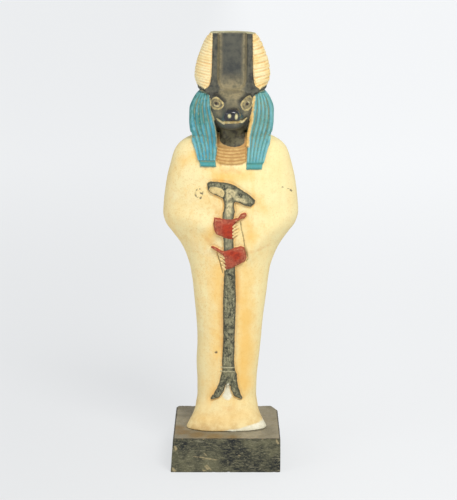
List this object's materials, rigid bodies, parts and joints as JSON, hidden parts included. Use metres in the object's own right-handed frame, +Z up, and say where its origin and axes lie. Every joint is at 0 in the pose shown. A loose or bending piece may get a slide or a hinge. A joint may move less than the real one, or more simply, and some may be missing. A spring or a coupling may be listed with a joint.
{
  "type": "animal-headed statuette",
  "caption": "Carved and painted statuette of a jackal-headed mummy holding a long sceptre, standing on a square dark plinth.",
  "frame": {"origin": "middle of the plinth's underside", "axes": "+Z up along the figure, -Y the way the face looks, +X to the figure's own left"},
  "size_m": [0.0748, 0.0616, 0.24],
  "materials": {
    "figure": "matt paint over pale carved stone",
    "plinth": "worn black paint over stone"
  },
  "bodies": {
    "root": {"figure": "figure", "plinth": "plinth"}
  },
  "joints": []
}
